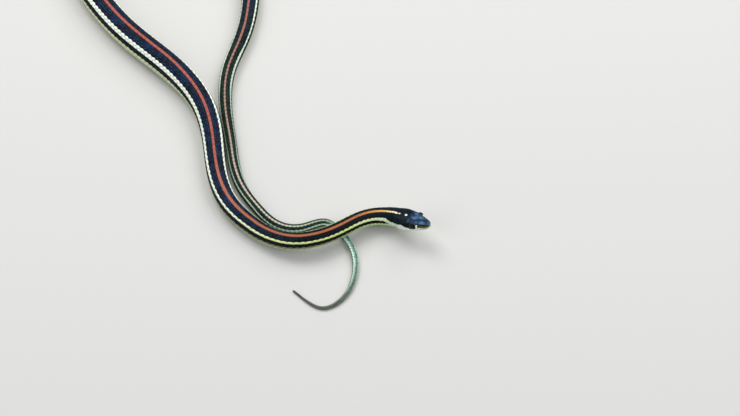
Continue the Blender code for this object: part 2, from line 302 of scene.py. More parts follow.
coat = {
    "depthShare": 0.043,      # depth of the coat as a share of the body's half width
    "start": (14.6, 18.4),    # where the head's plates give way to it
    "edge": 104.0,            # angle of the lowest row's outer edge
    "steps": [
        (14.0, 1.5), (18.0, 1.75), (24.0, 2.1), (60.0, 2.6), (120.0, 2.9), (480.0, 2.9),
        (505.0, 2.6), (600.0, 2.1), (680.0, 1.6), (722.0, 1.1),
    ],
    "rowWidths": [1.05, 1, 1, 1, 1, 1, 1, 1, 1.15, 1.35],
    "rowEnds": {6: (322, 338), 5: (498, 512), 3: (528, 542), 7: (560, 576), 2: (602, 618), 8: (646, 662)},
    "rowStarts": [15.5, 15.5, 15.6, 15.8, 15.9, 16.0, 16.1, 16.3, 16.5, 16.6],
    "overlap": 1.34,          # length of a scale in steps
    "halfWidth": 0.7,         # half width of a scale in rows
    "across": [-1, -0.74, -0.42, -0.13, 0, 0.13, 0.42, 0.74, 1],
    "alongScale": [0, 0.12, 0.26, 0.4, 0.52, 0.64, 0.76, 0.87, 0.95, 1],
}
depthTable = coat["depthShare"] * radiusTable * easeStep(alongTable, *coat["start"])
stepTable = smoothTable(coat["steps"], alongTable)
countTable = np.cumsum(tableStep / stepTable)


def rowTables():
    # middle angle and width of each row of scales along the body
    shares = np.array(coat["rowWidths"], float)[:, None] * np.ones_like(alongTable)
    for row, (start, end) in coat["rowEnds"].items():
        shares[row] *= 1 - easeStep(alongTable, start, end)
    total = shares[0] / 2 + shares[1:].sum(0)
    inner = np.cumsum(shares, axis=0) - shares[0] / 2 - shares / 2
    inner[0] = 0
    return inner / total * coat["edge"], shares / total * coat["edge"]


rowMiddles, rowWidths = rowTables()

# The markings: half angle of the back stripe, middle and half angle of the side stripes
marks = {
    "back": [
        (15.5, 3.0), (19.0, 5.5), (24.0, 8.0), (34.0, 9.6), (110.0, 10.0), (125.0, 9.6),
        (150.0, 8.5), (440.0, 8.8), (500.0, 9.6), (530.0, 10.0), (560.0, 12.0), (590.0, 14.0),
        (722.0, 14.0),
    ],
    "side": [
        (14.0, 96.0), (18.0, 86.0), (21.0, 80.0), (24.0, 66.0), (28.0, 56.0), (32.0, 54.0),
        (40.0, 55.6), (440.0, 55.6), (480.0, 56.5), (722.0, 57.5),
    ],
    "sideHalf": [
        (14.0, 20.0), (18.0, 18.0), (21.0, 12.5), (24.0, 12.0), (28.0, 10.5), (34.0, 8.5),
        (50.0, 6.8), (70.0, 6.0), (110.0, 6.0), (140.0, 7.6), (160.0, 8.2), (440.0, 8.2),
        (520.0, 8.0), (600.0, 9.0), (640.0, 11.0), (662.0, 15.0), (722.0, 15.0),
    ],
    "belly": [(14.0, 108.0), (20.0, 94.0), (24.0, 89.0), (34.0, 89.0), (50.0, 92.0), (722.0, 93.0)],
    "plain": (9.4, 44.0, 64.0, 100.0),   # where the marks lie once the angles are evened out
}


def evenAngle(s, around):
    # turns an angle on the skin into the one where each mark keeps to one angle all along
    side, half = smoothTable(marks["side"], s), smoothTable(marks["sideHalf"], s)
    belly = np.maximum(smoothTable(marks["belly"], s), side + half + 0.5)
    ends = [0 * side, smoothTable(marks["back"], s), side - half, side + half, belly, 0 * side + 180]
    plain = (0.0,) + marks["plain"] + (180.0,)
    angle = np.abs((around + 180) % 360 - 180)
    even = np.zeros_like(angle)
    for low, high, plainLow, plainHigh in zip(ends, ends[1:], plain, plain[1:]):
        share = np.clip((angle - low) / (high - low), 0, 1)
        even = np.where(angle >= low, plainLow + share * (plainHigh - plainLow), even)
    return even


def makeMesh(name, points, faces, values, flatFaces=None, places=None):
    # faces is a list of corner arrays, each with one face in a row
    mesh = bpy.data.meshes.new(name)
    mesh.vertices.add(len(points))
    mesh.vertices.foreach_set("co", (points * mm).astype(np.float32).ravel())
    corners = np.concatenate([part.ravel() for part in faces])
    sizes = np.concatenate([np.full(len(part), part.shape[1]) for part in faces])
    mesh.loops.add(len(corners))
    mesh.loops.foreach_set("vertex_index", corners.astype(np.int32))
    mesh.polygons.add(len(sizes))
    mesh.polygons.foreach_set("loop_start", np.concatenate([[0], np.cumsum(sizes)[:-1]]).astype(np.int32))
    smooth = np.ones(len(sizes), bool)
    if flatFaces is not None:
        smooth[flatFaces] = False
    mesh.polygons.foreach_set("use_smooth", smooth)
    for key, value in values.items():
        layer = mesh.attributes.new(key, "FLOAT", "POINT")
        layer.data.foreach_set("value", value.astype(np.float32).ravel())
    if places is not None:
        layer = mesh.uv_layers.new(name="OFBake")
        layer.uv.foreach_set("vector", places(corners, sizes).astype(np.float32).ravel())
    mesh.update(calc_edges=True)
    made = bpy.data.objects.new(name, mesh)
    bpy.context.scene.collection.objects.link(made)
    return made


unwrap = {"strip": 121.0, "room": 124.0, "patch": 0.0035}


def stripPlace(s, around):
    # the body's unwrap: its length cut into six strips, one above the other
    strip = np.clip(np.floor(s / unwrap["strip"]), 0, 5)
    u = (s - strip * unwrap["strip"]) / unwrap["room"] + 0.01
    v = (strip + 0.04 + 0.92 * (around + 180) / 360) / 6
    return u, v


# Seams between the plates of the head, each a line of points in one view of it.
# top and under hold distance and side; flank holds distance and height over the axis.
plates = {
    "seamDepth": 0.075,
    "seamWidth": 0.085,
    "mouthDepth": 0.2,
    "mouthWidth": 0.11,
    "dome": 0.045,
    "lipTop": [(-1, 0.2), (0.5, 0.25), (1.9, 0.3), (3.2, 0.38), (4.6, 0.42), (5.8, 0.15), (6.3, -0.25),
               (8.8, -0.2), (9.6, 0.3), (11.5, 0.72), (13.8, 0.75), (16.2, 0.1)],
    "mouth": [(-0.28, -0.3), (0.0, -0.32), (2.3, -0.6), (5.5, -1.1), (9.0, -1.6),
              (12.2, -1.7), (15.1, -1.1), (16.6, -0.4)],
    "lipSeams": [1.2, 2.4, 3.6, 5.0, 6.9, 8.9, 11.2, 13.8],
    "jawSeams": [0.8, 1.9, 3.0, 4.2, 5.6, 7.4, 9.6, 11.8, 13.8],
    "jawLow": [(0.5, -1.0), (3.0, -1.4), (5.6, -1.95), (9.6, -2.45), (13.0, -2.5), (16.0, -1.7)],
    "top": [
        [(0.3, 0), (0.22, 0.7), (0.1, 1.0)],
        [(0.3, 0), (4.75, 0)],
        [(2.2, 0), (2.35, 0.9), (2.1, 1.75)],
        [(0.3, 0.9), (1.3, 1.45), (2.1, 1.75), (3.2, 2.3), (4.6, 2.7)],
        [(4.75, 0), (4.7, 1.15), (4.95, 1.35), (4.6, 2.7)],
        [(4.95, 1.35), (6.6, 1.15), (9.3, 1.1), (10.5, 0)],
        [(4.6, 2.7), (6.0, 2.95), (8.0, 3.2), (9.4, 3.1), (9.3, 1.1)],
        [(10.5, 0), (15.1, 0)],
        [(9.4, 3.1), (11.5, 3.55), (13.4, 3.4), (15.0, 2.5), (15.9, 1.2), (15.1, 0)],
    ],
    "flank": [
        [(1.9, 0.3), (1.9, 1.6)],
        [(3.2, 0.38), (3.1, 1.75)],
        [(4.6, 0.42), (4.7, 2.0)],
        [(9.6, 0.3), (9.95, 1.3), (10.0, 2.6)],
        [(8.85, 1.5), (9.95, 1.6)],
        [(8.8, 0.65), (9.8, 0.75)],
        [(13.0, 0.75), (13.2, 2.6)],
        [(13.1, 1.7), (15.7, 1.5)],
        [(15.6, 0.35), (15.8, 2.2)],
    ],
    "under": [
        [(0.15, 0.9), (0.85, 0)],
        [(0.85, 0), (9.8, 0)],
        [(0.9, 0.5), (1.8, 1.15), (5.5, 1.35), (9.7, 1.6)],
        [(5.5, 1.35), (5.7, 0)],
        [(9.7, 1.6), (9.9, 0)],
        [(9.7, 1.6), (14.5, 1.9)],
        [(9.9, 0.75), (16.0, 0.8)],
        [(11.2, 0), (11.9, 2.6)],
        [(12.6, 0), (13.3, 2.8)],
        [(14.0, 0), (14.8, 2.9)],
        [(15.4, 0), (16.2, 2.9)],
    ],
}

eye = {
    "radius": 1.65,
    "place": (7.3, 1.35),      # distance behind the snout and height over the axis
    "depth": 1.05,
    "opening": 1.32,
    "lid": 0.07,
    "tilt": (0.14, 0.16),     # how far the eye looks forwards and up
    "pupil": 0.6,
}
nostril = {"place": (1.75, 0.85), "radius": 0.2, "depth": 0.4}


def seamLine(view, line):
    # points every 0.05 mm along a seam, on the animal's left
    line = np.array(line, float)
    run = np.concatenate([[0], np.cumsum(np.linalg.norm(np.diff(line, axis=0), axis=1))])
    fine = np.linspace(0, run[-1], max(2, int(run[-1] / 0.05)))
    s, wanted = np.interp(fine, run, line[:, 0]), np.interp(fine, run, line[:, 1])
    sweep = {"top": (0, 0.5), "under": (0.5, 1), "flank": (0, 1)}[view]
    phi = np.linspace(sweep[0] * math.pi, sweep[1] * math.pi, 241)
    side, up = outline(s[:, None] * np.ones_like(phi), phi * np.ones_like(s)[:, None])
    found = []
    for i in range(len(s)):
        if view == "top":
            angle = np.interp(wanted[i], side[i], phi)
        elif view == "under":
            angle = np.interp(wanted[i], side[i][::-1], phi[::-1])
        else:
            angle = np.interp(wanted[i], up[i][::-1], phi[::-1])
        found.append(angle)
    side, up = outline(s, np.array(found))
    return s, side, up


def seamPoints():
    lines = [(view, line, False) for view in ("top", "flank", "under") for line in plates[view]]
    lipTop, mouth, jawLow = (np.array(plates[key]) for key in ("lipTop", "mouth", "jawLow"))
    lines.append(("flank", plates["mouth"], True))
    lines.append(("flank", plates["jawLow"], False))
    lines.append(("flank", [p for p in plates["lipTop"] if p[0] < 6], False))
    lines.append(("flank", [p for p in plates["lipTop"] if p[0] > 8.5], False))
    for s in plates["lipSeams"]:
        top, low = np.interp(s, *lipTop.T), np.interp(s + 0.2, *mouth.T)
        lines.append(("flank", [(s, top), (s + 0.2, low)], False))
    for s in plates["jawSeams"]:
        top, low = np.interp(s, *mouth.T), np.interp(s + 0.3, *jawLow.T)
        lines.append(("flank", [(s, top), (s + 0.3, low)], False))
    points, isMouth = [], []
    for view, line, deep in lines:
        s, side, up = seamLine(view, line)
        for sign in (1, -1):
            points.append(place(s, sign * side, up))
            isMouth += [deep] * len(s)
    return np.concatenate(points), np.array(isMouth)


def flankPoint(where, inward=0.0):
    s, side, up = seamLine("flank", [where, (where[0] + 0.1, where[1])])
    return [place(s[:1], sign * (side[:1] - inward), up[:1])[0] for sign in (1, -1)]


def eyeFrames():
    s, up = eye["place"]
    wide = at(headTable[0], s)
    frames = []
    for sign in (1, -1):
        centre = place(np.array([s]), np.array([sign * (wide - eye["depth"])]), np.array([up]))[0]
        left, upward = (np.array([at(table[k], s) for k in range(3)]) for table in (leftTable, upTable))
        forward = -np.array([np.interp(s, alongTable, backTable[:, k]) for k in range(3)])
        axis = unit(sign * left + eye["tilt"][0] * forward + eye["tilt"][1] * upward)
        frames.append((centre, axis, unit(np.cross(axis, forward))))
    return frames


skinPlan = {
    "headSides": 300,
    "bodySides": 60,
    "noseRings": [0.985, 0.93, 0.82, 0.66, 0.46, 0.24],
    "headSteps": ((12.0, 0.09), (20.0, 0.135)),
    "bodySteps": ((560.0, 1.4), (721.6, 0.8)),
    "tipRings": [0.35, 0.6, 0.8, 0.93, 0.985],
}


def skinStations():
    head = [-shape["noseRound"] * share for share in skinPlan["noseRings"]]
    start = 0.0
    for end, step in skinPlan["headSteps"]:
        head += list(np.linspace(start, end, round((end - start) / step), endpoint=False))
        start = end
    body = []
    head.append(start)
    start += 0.7
    for end, step in skinPlan["bodySteps"]:
        body += list(np.linspace(start, end, round((end - start) / step), endpoint=False))
        start = end
    first = bodyLength - shape["tipRound"]
    body = [s for s in body if s < first - 0.3] + [first]
    body += [first + shape["tipRound"] * share for share in skinPlan["tipRings"]]
    return np.array(head), np.array(body)


def ringFaces(first, count, rings):
    # quads between rings of count points each, the first of them numbered first
    i = np.arange(count)
    j = (i + 1) % count
    row = first + count * np.arange(rings - 1)[:, None]
    quads = np.stack([row + i, row + count + i, row + count + j, row + j], axis=-1)
    return quads.reshape(-1, 4)


def shapeHead(points, s, around, normal):
    # cuts the seams between the plates, the mouth and the nostrils, and draws the lids round the eyes
    seams, isMouth = seamPoints()
    tree = kdtree.KDTree(len(seams))
    for i, point in enumerate(seams):
        tree.insert(point, i)
    tree.balance()
    found = [tree.find(point) for point in points]
    gap = np.array([item[2] for item in found])
    deep = isMouth[[item[1] for item in found]]
    fade = 1 - easeStep(s, 15.6, 16.8)
    fadeMouth = 1 - easeStep(s, 16.4, 17.2)
    groove = np.where(deep, plates["mouthDepth"] * fadeMouth, plates["seamDepth"] * fade)
    groove = groove * np.exp(-(gap / np.where(deep, plates["mouthWidth"], plates["seamWidth"])) ** 2)
    lift = plates["dome"] * (1 - np.exp(-(gap / 0.4) ** 2)) * fade - groove
    pit = np.zeros(len(points))
    for centre in flankPoint(nostril["place"]):
        far = np.linalg.norm(points - centre, axis=1)
        pit = np.maximum(pit, np.exp(-(far / nostril["radius"]) ** 2))
    lift -= nostril["depth"] * pit - 0.05 * np.exp(-((pit - 0.25) / 0.15) ** 2) * (pit > 0.02)
    points = points + normal * lift[:, None]
    lid = np.full(len(points), 9.0)
    for centre, axis, _ in eyeFrames():
        out = points - centre
        ahead = out @ axis
        far = np.linalg.norm(out - ahead[:, None] * axis, axis=1)
        near = (ahead > 0) & (far < 3.2)
        reach = np.linalg.norm(out, axis=1)
        over = eye["radius"] + eye["lid"]
        over += 0.05 * np.exp(-(((far - eye["opening"] - 0.16) / 0.12) ** 2))
        raised = 0.5 * (reach + over + np.sqrt((reach - over) ** 2 + 0.12**2))
        raised = reach + (raised - reach) * (1 - easeStep(far, 1.7, 2.7))
        sunk = np.minimum(reach, eye["radius"] - 0.16)
        opened = 1 - easeStep(far, eye["opening"] - 0.06, eye["opening"] + 0.05)
        wanted = raised * (1 - opened) + sunk * opened
        moved = centre + out * (wanted / np.maximum(reach, 1e-6))[:, None]
        points = np.where(near[:, None], moved, points)
        lid = np.where(near, np.minimum(lid, far), lid)
    return points, gap * np.where(deep, 0.6, 1.0), pit, lid


def buildSkin():
    headS, bodyS = skinStations()
    headAround = np.arange(skinPlan["headSides"]) * 360 / skinPlan["headSides"] - 180
    bodyAround = np.arange(skinPlan["bodySides"]) * 360 / skinPlan["bodySides"] - 180
    s = np.concatenate([np.repeat(headS, len(headAround)), np.repeat(bodyS, len(bodyAround))])
    around = np.concatenate([np.tile(headAround, len(headS)), np.tile(bodyAround, len(bodyS))])
    points = bare(s, around)
    normal = normals(s, around)
    depth = at(depthTable, s)
    points -= normal * depth[:, None]
    isHead = s <= 18.0
    seam, pit, lid = np.full(len(s), 9.0), np.zeros(len(s)), np.full(len(s), 9.0)
    points[isHead], seam[isHead], pit[isHead], lid[isHead] = shapeHead(
        points[isHead], s[isHead], around[isHead], normal[isHead]
    )
    headCount = len(headS) * len(headAround)
    last = len(points)
    nose = place(np.array([-shape["noseRound"]]), np.zeros(1), np.zeros(1))
    tip = place(np.array([bodyLength]), np.zeros(1), np.zeros(1))
    points = np.vstack([points, nose, tip])
    s = np.append(s, [-shape["noseRound"], bodyLength])
    around = np.append(around, [0, 0])
    seam, pit, lid = (np.append(value, rest) for value, rest in ((seam, [9, 9]), (pit, [0, 0]), (lid, [9, 9])))
    i = np.arange(skinPlan["headSides"])
    noseFan = np.stack([np.full_like(i, last), i, (i + 1) % len(i)], axis=-1)
    i = np.arange(skinPlan["bodySides"])
    j = (i + 1) % len(i)
    tipFan = np.stack([np.full_like(i, last + 1), last - len(i) + j, last - len(i) + i], axis=-1)
    ratio = skinPlan["headSides"] // skinPlan["bodySides"]
    fine = headCount - skinPlan["headSides"]
    joint = [(fine + (i * ratio + k) % skinPlan["headSides"]) for k in range(ratio, -1, -1)]
    joint = np.stack(joint + [headCount + i, headCount + j], axis=-1)
    faces = [
        ringFaces(0, skinPlan["headSides"], len(headS)),
        ringFaces(headCount, skinPlan["bodySides"], len(bodyS)),
        noseFan, tipFan, joint,
    ]
    side, up = outline(s, phiAt(s, around))
    lip = up - np.interp(s, *np.array(plates["lipTop"]).T)
    values = {
        "around": evenAngle(s, around), "along": s, "seam": seam, "pit": pit, "lid": lid,
        "lip": lip, "turn": np.abs(around),
    }

    def places(corners, sizes):
        # the head fills the lower half of the map and the body's strips the upper half
        face = np.repeat(np.arange(len(sizes)), sizes)
        cornerS, cornerAround = s[corners], around[corners]
        starts = np.concatenate([[0], np.cumsum(sizes)[:-1]])
        lowS = np.minimum.reduceat(cornerS, starts)[face]
        highAround = np.maximum.reduceat(cornerAround, starts)[face]
        lowAround = np.minimum.reduceat(cornerAround, starts)[face]
        wraps = highAround - lowAround > 180
        cornerAround = np.where(wraps & (cornerAround < 0), cornerAround + 360, cornerAround)
        share = (cornerAround + 180) / 360
        strip = np.floor(lowS / unwrap["strip"])
        bodyU = (cornerS - strip * unwrap["strip"]) / unwrap["room"] + 0.005
        bodyV = 0.52 + (strip + 0.04 + 0.9 * share) / 6 * 0.47
        headU = 0.02 + (cornerS + 0.4) / 21.6 * 0.95
        headV = 0.01 + 0.47 * share
        onHead = lowS < shape["headLength"]
        return np.column_stack([np.where(onHead, headU, bodyU), np.where(onHead, headV, bodyV)])

    skin = makeMesh("skin", points, faces, values, places=places)
    nodes = [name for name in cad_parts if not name.startswith("eye")]
    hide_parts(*nodes)
    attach(skin, "root")
    return skin


def scaleTemplate(rows, columns):
    # corner numbers of one scale: its domed top, and an underside that closes it
    grid = np.arange(rows * columns).reshape(rows, columns)
    top = np.stack([grid[:-1, :-1], grid[:-1, 1:], grid[1:, 1:], grid[1:, :-1]], axis=-1).reshape(-1, 4)
    root = np.concatenate([grid[0, ::-1], grid[1, [0, -1]]])[None]
    tip = np.concatenate([grid[-1], grid[-2, [-1, 0]]])[None]
    under = np.stack([grid[1:-2, -1], grid[1:-2, 0], grid[2:-1, 0], grid[2:-1, -1]], axis=-1)
    return [top, under, root, tip]


def repeated(template, count, size):
    return [
        (part[None] + size * np.arange(count)[:, None, None]).reshape(-1, part.shape[1])
        for part in template
    ]


def rowRoots(row):
    # where each scale of a row is rooted; rows beside a lost one drift by half a step
    drift = np.zeros_like(alongTable)
    for lost, (start, end) in coat["rowEnds"].items():
        if lost < abs(row):
            drift += 0.5 * easeStep(alongTable, start - 20, end + 20)
    count = countTable - drift - 0.5 * (row % 2)
    numbers = np.arange(math.ceil(count[0]), math.floor(count[-1]))
    roots = np.interp(numbers, count, alongTable)
    end = bodyLength - 1.6
    if abs(row) in coat["rowEnds"]:
        start, stop = coat["rowEnds"][abs(row)]
        end = start + 0.55 * (stop - start)
    return roots[(roots > coat["rowStarts"][abs(row)]) & (roots < end)]


def scaleRow(row):
    roots = rowRoots(row)
    a = np.array(coat["alongScale"])[None, :, None]
    b = np.array(coat["across"], float)[None, None, :]
    n = len(roots)
    rootS = roots[:, None, None]
    length = coat["overlap"] * at(stepTable, rootS) * chance.uniform(0.97, 1.03, (n, 1, 1))
    swell = np.where(
        a < 0.45, 0.62 + 0.38 * np.sin(np.pi / 2 * a / 0.45),
        np.cos(np.pi / 2 * 0.9 * (a - 0.45) / 0.55) ** 0.72,
    )
    s = rootS + length * (a - 0.05 * b**2 * a**4)
    s = np.minimum(s, bodyLength - 0.35)
    width = at(rowWidths[abs(row)], s)
    around = math.copysign(1, row) * at(rowMiddles[abs(row)], s) * (row != 0)
    around = around + b * width * coat["halfWidth"] * swell
    dome = (1 - np.abs(b) ** 3) * (1 - a**6) * (0.3 + 0.7 * np.minimum(a / 0.35, 1))
    keelStrength = {9: 0.0, 8: 0.5}.get(abs(row), 1.0)
    keel = keelStrength * np.exp(-(b / 0.1) ** 2) * np.minimum(a / 0.3, 1) * (1 - a**4)
    tilt = chance.uniform(-0.04, 0.04, (n, 1, 1))
    height = 0.06 + (0.8 + tilt) * a + 0.34 * dome + 0.2 * keel
    lift = at(depthTable, s) * (height - 1)
    points = onSkin(s, around, lift)
    edge = 1 - (1 - np.abs(b) ** 3) * (1 - a**6) + 0 * s
    luck = chance.uniform(0, 1, (n, 1, 1)) + 0 * s
    middle = around[:, 4:5, 4:5] + 0 * s
    values = {
        "around": evenAngle(s, 0.5 * around + 0.5 * middle), "along": s, "edge": edge,
        "chance": luck, "reach": a + 0 * s, "keel": keel + 0 * s,
    }
    u, v = stripPlace(rootS, around[:, :1, 4:5])
    u = u + unwrap["patch"] * (a - 0.5) + 0 * s
    v = v + unwrap["patch"] * b / 2 + 0 * s
    return points.reshape(-1, 3), values, np.column_stack([u.ravel(), v.ravel()]), n


def joinPieces(name, parts, template, size, material):
    points = np.concatenate([part[0] for part in parts])
    values = {key: np.concatenate([part[1][key].ravel() for part in parts]) for key in parts[0][1]}
    uv = np.concatenate([part[2] for part in parts])
    count = sum(part[3] for part in parts)
    faces = repeated(template, count, size)
    topFaces = len(faces[0])
    total = sum(len(part) for part in faces)
    made = makeMesh(
        name, points, faces, values, np.arange(topFaces, total), lambda corners, sizes: uv[corners]
    )
    made.data.materials.append(material)
    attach(made, "root")
    corners = sum(part.size for part in faces) - 2 * total
    print(f"{name}: {count} scales, {corners} triangles")
    return made


scaleBands = {
    "back_scales": (-1, 0, 1),
    "left_upper_scales": (2, 3, 4, 5),
    "right_upper_scales": (-2, -3, -4, -5),
    "left_lower_scales": (6, 7, 8, 9),
    "right_lower_scales": (-6, -7, -8, -9),
}


def buildScales(material):
    rows, columns = len(coat["alongScale"]), len(coat["across"])
    template = scaleTemplate(rows, columns)
    for name, members in scaleBands.items():
        parts = [scaleRow(row) for row in members]
        joinPieces(name, parts, template, rows * columns, material)


scutes = {
    "start": 16.4,
    "along": [0, 0.3, 0.6, 0.85, 1],
    "across": 24,
    "overlap": 1.28,
    "tuck": 4.0,              # degrees that a scute runs in under the lowest scales
    "thickness": 0.3,
    "tailGap": 3.0,
}


def shellTemplate(rows, columns):
    # corner numbers of a thin curved plate with a top, an underside and a wall between
    grid = np.arange(rows * columns).reshape(rows, columns)
    below = grid + rows * columns
    top = np.stack([grid[:-1, :-1], grid[:-1, 1:], grid[1:, 1:], grid[1:, :-1]], axis=-1).reshape(-1, 4)
    under = np.stack([below[:-1, :-1], below[1:, :-1], below[1:, 1:], below[:-1, 1:]], axis=-1)
    rim = np.concatenate([grid[0, :-1], grid[:-1, -1], grid[-1, :0:-1], grid[:0:-1, 0]])
    after = np.roll(rim, -1)
    wall = np.stack([after, rim, rim + rows * columns, after + rows * columns], axis=-1)
    return [top, under.reshape(-1, 4), wall]


def scuteRow(starts, low, high):
    # plates from angle low to angle high, measured on through the middle of the belly
    a = np.array(scutes["along"])[None, :, None]
    b = np.linspace(0, 1, scutes["across"])[None, None, :]
    n = len(starts)
    rootS = starts[:, None, None]
    length = scutes["overlap"] * at(stepTable, rootS)
    cornerTurn = np.abs(2 * b - 1) ** 6
    s = np.minimum(rootS + length * a * (1 - 0.16 * cornerTurn), bodyLength - 0.3)
    around = low + (high - low) * b + 0 * s
    rim = np.maximum(a**8, cornerTurn)
    height = 0.08 + 0.55 * a + 0.14 * (1 - rim)
    depth = at(depthTable, s)
    top = onSkin(s, around, depth * (height - 1))
    under = onSkin(s, around, depth * (height - 1 - scutes["thickness"]))
    points = np.stack([top.reshape(n, -1, 3), under.reshape(n, -1, 3)], axis=1).reshape(-1, 3)

    def twice(value):
        value = (value + 0 * s).reshape(n, 1, -1)
        return np.concatenate([value, value], axis=1)

    values = {
        "around": twice(evenAngle(s, around)), "along": twice(s), "edge": twice(rim),
        "chance": twice(chance.uniform(0, 1, (n, 1, 1))), "reach": twice(a), "keel": twice(0 * s),
    }
    u, v = stripPlace(rootS, 0 * rootS + (low + high) / 2 - 180)
    u = twice(u + unwrap["patch"] * (a - 0.5))
    v = twice(v + 30 * unwrap["patch"] * (b - 0.5))
    return points, values, np.column_stack([u.ravel(), v.ravel()]), n


def buildScutes(material):
    edge = coat["edge"] - scutes["tuck"]
    numbers = np.arange(1, math.floor(countTable[-1]))
    starts = np.interp(numbers, countTable, alongTable)
    belly = starts[(starts > scutes["start"]) & (starts < shape["vent"])]
    tail = starts[(starts >= shape["vent"]) & (starts < bodyLength - 1.8)]
    # the second row of the pairs is half a step behind, and begins under the last whole plate
    steps = np.interp(tail, alongTable, countTable)
    half = np.interp(np.append(steps[0] - 1, steps) + 0.5, countTable, alongTable)
    rows, columns = len(scutes["along"]), scutes["across"]
    template = shellTemplate(rows, columns)
    parts = [
        scuteRow(belly, edge, 360 - edge),
        scuteRow(tail, edge, 180 + scutes["tailGap"]),
        scuteRow(half, 180 - scutes["tailGap"], 360 - edge),
    ]
    joinPieces("belly_scutes", parts, template, 2 * rows * columns, material)


def buildEyes(material):
    rings, sides = 33, 64
    for (centre, axis, across), word in zip(eyeFrames(), ("left", "right")):
        third = np.cross(axis, across)
        polar = np.linspace(0, math.pi, rings + 2)[1:-1] ** 1.0
        turn = np.arange(sides) * 2 * math.pi / sides
        polar, turn = (grid.ravel() for grid in np.meshgrid(polar, turn, indexing="ij"))
        ball = np.outer(np.cos(polar), axis) + np.outer(np.sin(polar) * np.cos(turn), across)
        ball += np.outer(np.sin(polar) * np.sin(turn), third)
        points = np.vstack([centre + eye["radius"] * ball, centre + eye["radius"] * axis, centre - eye["radius"] * axis])
        last = rings * sides
        i = np.arange(sides)
        front = np.stack([np.full_like(i, last), i, (i + 1) % sides], axis=-1)
        behind = np.stack([np.full_like(i, last + 1), last - sides + (i + 1) % sides, last - sides + i], axis=-1)
        faces = [ringFaces(0, sides, rings), front, behind]
        gaze = np.append(eye["radius"] * np.where(polar < math.pi / 2, np.sin(polar), 2 - np.sin(polar)), [0, 9])
        values = {"gaze": gaze, "swing": np.append(turn, [0, 0])}
        made = makeMesh("eye_" + word + "_ball", points, faces, values)
        made.data.materials.append(material)
        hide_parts("eye_" + word)
        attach(made, "root")


# Materials. A Flow is one output in a material's nodes, and maths on it adds the nodes.
class Flow:
    def __init__(self, finish, socket):
        self.finish, self.socket = finish, socket

    def maths(self, operation, one, two):
        return self.finish.add("ShaderNodeMath", {"operation": operation}, {0: one, 1: two})

    def __add__(self, other):
        return self.maths("ADD", self, other)

    __radd__ = __add__

    def __sub__(self, other):
        return self.maths("SUBTRACT", self, other)

    def __rsub__(self, other):
        return self.maths("SUBTRACT", other, self)

    def __mul__(self, other):
        return self.maths("MULTIPLY", self, other)

    __rmul__ = __mul__

    def __truediv__(self, other):
        return self.maths("DIVIDE", self, other)

    def __pow__(self, other):
        return self.maths("POWER", self, other)

    def ease(self, low, high):
        values = {"Value": self, "From Min": low, "From Max": high}
        return self.finish.add("ShaderNodeMapRange", {"interpolation_type": "SMOOTHSTEP"}, values)

    def band(self, low, high, soft):
        # 1 between low and high, with soft edges
        return self.ease(low - soft, low + soft) * (1 - self.ease(high - soft, high + soft))

    def larger(self, other):
        return self.maths("MAXIMUM", self, other)


class Finish:
    def __init__(self, name, **fixed):
        self.material = bpy.data.materials.new(name)
        self.material.use_nodes = True
        self.tree = self.material.node_tree
        self.shader = self.tree.nodes["Principled BSDF"]
        for key, value in fixed.items():
            self.shader.inputs[socketNames[key]].default_value = value

    def add(self, kind, settings=None, values=None, out=0):
        node = self.tree.nodes.new(kind)
        for key, value in (settings or {}).items():
            if key == "stops":
                self.setStops(node.color_ramp, value)
            else:
                setattr(node, key, value)
        for key, value in (values or {}).items():
            self.put(node.inputs[key], value)
        return Flow(self, node.outputs[out])

    def setStops(self, ramp, stops):
        while len(ramp.elements) < len(stops):
            ramp.elements.new(1.0)
        for element, (position, colour) in zip(ramp.elements, stops):
            element.position = position
            element.color = linear(colour)

    def put(self, socket, value):
        if isinstance(value, Flow):
            self.tree.links.new(value.socket, socket)
        else:
            socket.default_value = value

    def read(self, name):
        return self.add("ShaderNodeAttribute", {"attribute_name": name}, out=2)

    def mix(self, under, over, mask):
        under, over = (linear(c) if isinstance(c, tuple) else c for c in (under, over))
        return self.add("ShaderNodeMix", {"data_type": "RGBA"}, {0: mask, 6: under, 7: over}, 2)

    def noise(self, size, detail=2.0):
        # size is that of the pattern's blotches in millimetres
        where = self.add("ShaderNodeTexCoord", out=3)
        values = {"Vector": where, "Scale": 1 / (size * mm), "Detail": detail}
        return self.add("ShaderNodeTexNoise", {}, values)

    def graded(self, along, stops):
        # a colour that changes along the body
        spots = [(s / bodyLength, colour) for s, colour in stops]
        return self.add("ShaderNodeValToRGB", {"stops": spots}, {0: along / bodyLength})

    def finish(self, **links):
        for key, value in links.items():
            self.put(self.shader.inputs[socketNames[key]], value)
        return self.material


socketNames = {
    "colour": "Base Color", "roughness": "Roughness", "metallic": "Metallic", "normal": "Normal",
    "coat": "Coat Weight", "coatRoughness": "Coat Roughness", "specular": "Specular IOR Level",
}


def linear(colour):
    # display values, 0 to 255, as the shader's own linear ones
    shares = [value / 255 for value in colour[:3]]
    return tuple(v / 12.92 if v <= 0.04045 else ((v + 0.055) / 1.055) ** 2.4 for v in shares) + (1.0,)


